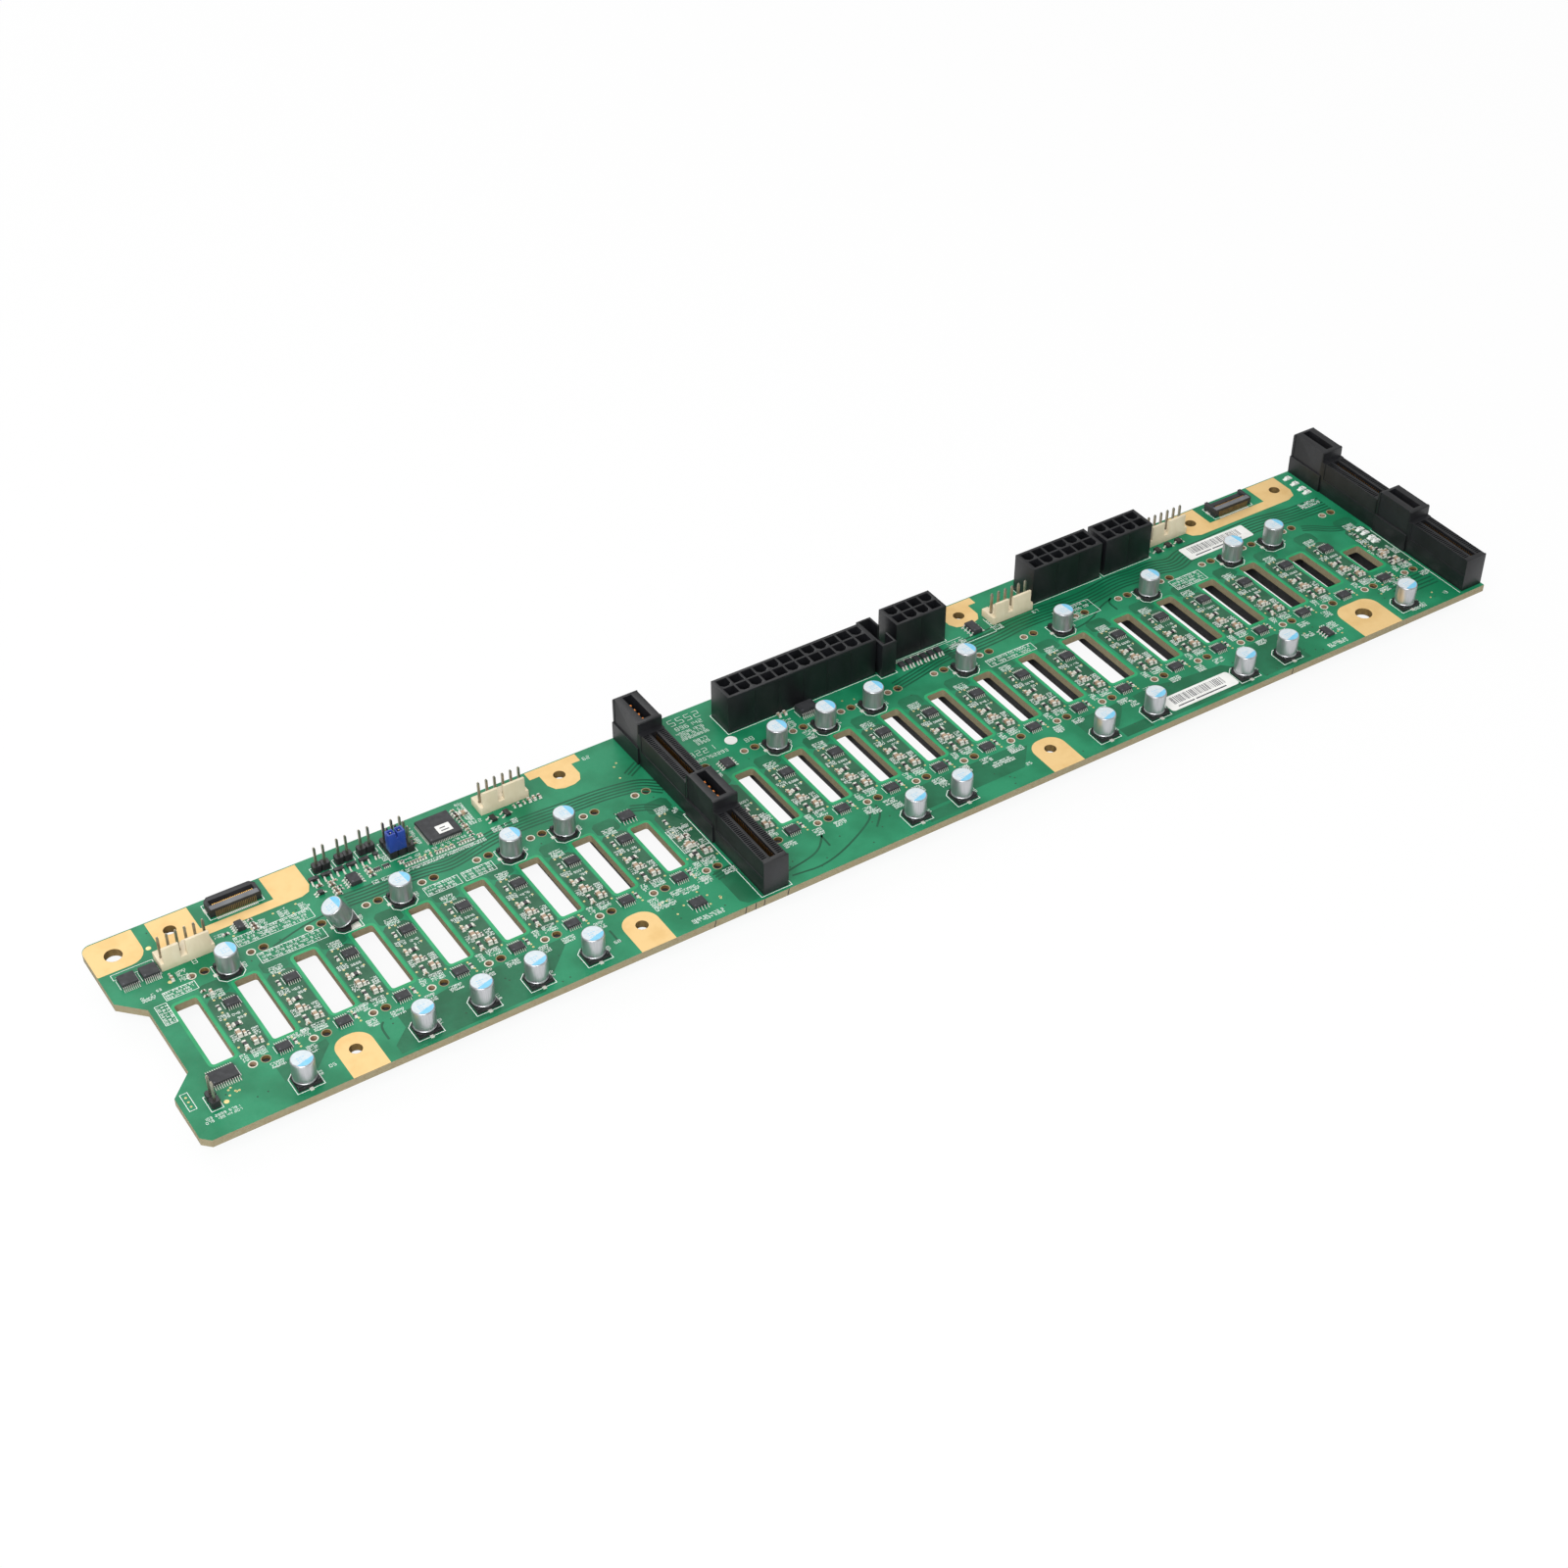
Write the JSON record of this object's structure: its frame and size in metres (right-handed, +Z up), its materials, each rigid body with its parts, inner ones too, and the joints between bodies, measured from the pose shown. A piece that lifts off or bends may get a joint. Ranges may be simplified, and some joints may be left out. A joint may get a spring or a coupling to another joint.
{
  "type": "drive backplane board",
  "caption": "Long green circuit board with a row of vent slots, drive receptacles below, and card-edge, power and fan connectors above.",
  "frame": {"origin": "centre of the corner mounting hole, in the plane of the board's underside", "axes": "+X along the board away from the corner hole, +Y towards the far long edge, +Z up out of the component side"},
  "size_m": [0.4311, 0.0824, 0.0231],
  "materials": {
    "base_plastic": "moulded, fine matte",
    "blade_copper": "plated contact blades",
    "board": "green solder mask over glass-fibre laminate",
    "can_aluminium": "bright can with a printed segment",
    "card_plastic": "moulded, fine matte",
    "chip_epoxy": "moulded epoxy",
    "fan_plastic": "cream moulding",
    "header_plastic": "moulded, fine matte",
    "jumper_plastic": "blue moulding",
    "light_plastic": "white body with a dark lens",
    "pin_metal": "tin plate",
    "power_plastic": "moulded, fine matte",
    "receptacle_plastic": "moulded, fine matte",
    "service_plastic": "moulded, fine matte",
    "signal_plastic": "dark grey moulding"
  },
  "bodies": {
    "root": {"bay_chips_far": "chip_epoxy", "bay_chips_near": "chip_epoxy", "board": "board", "capacitor_bases": "base_plastic", "capacitor_cans": "can_aluminium", "card_connector_blades": "blade_copper", "card_connector_middle_far": "card_plastic", "card_connector_middle_near": "card_plastic", "card_connector_right_far": "card_plastic", "card_connector_right_near": "card_plastic", "controller_chip": "chip_epoxy", "drive_receptacle_01": "receptacle_plastic", "drive_receptacle_02": "receptacle_plastic", "drive_receptacle_03": "receptacle_plastic", "drive_receptacle_04": "receptacle_plastic", "drive_receptacle_05": "receptacle_plastic", "drive_receptacle_06": "receptacle_plastic", "drive_receptacle_07": "receptacle_plastic", "drive_receptacle_08": "receptacle_plastic", "drive_receptacle_09": "receptacle_plastic", "drive_receptacle_10": "receptacle_plastic", "drive_receptacle_11": "receptacle_plastic", "drive_receptacle_12": "receptacle_plastic", "drive_receptacle_13": "receptacle_plastic", "drive_receptacle_14": "receptacle_plastic", "drive_receptacle_15": "receptacle_plastic", "drive_receptacle_16": "receptacle_plastic", "drive_receptacle_17": "receptacle_plastic", "drive_receptacle_18": "receptacle_plastic", "drive_receptacle_19": "receptacle_plastic", "drive_receptacle_20": "receptacle_plastic", "drive_receptacle_21": "receptacle_plastic", "drive_receptacle_22": "receptacle_plastic", "drive_receptacle_23": "receptacle_plastic", "drive_receptacle_24": "receptacle_plastic", "fan_header_1": "fan_plastic", "fan_header_2": "fan_plastic", "fan_header_3": "fan_plastic", "fan_header_4": "fan_plastic", "fan_header_pins": "pin_metal", "header_pins": "pin_metal", "jumper_cap": "jumper_plastic", "jumper_header": "header_plastic", "loose_chips": "chip_epoxy", "power_connector_middle": "power_plastic", "power_connector_right_1": "power_plastic", "power_connector_right_2": "power_plastic", "power_connector_wide": "power_plastic", "power_transistors": "chip_epoxy", "service_header": "service_plastic", "signal_connector_left": "signal_plastic", "signal_connector_right": "signal_plastic", "status_lights": "light_plastic", "test_header": "header_plastic", "two_pin_headers": "header_plastic"}
  },
  "joints": []
}
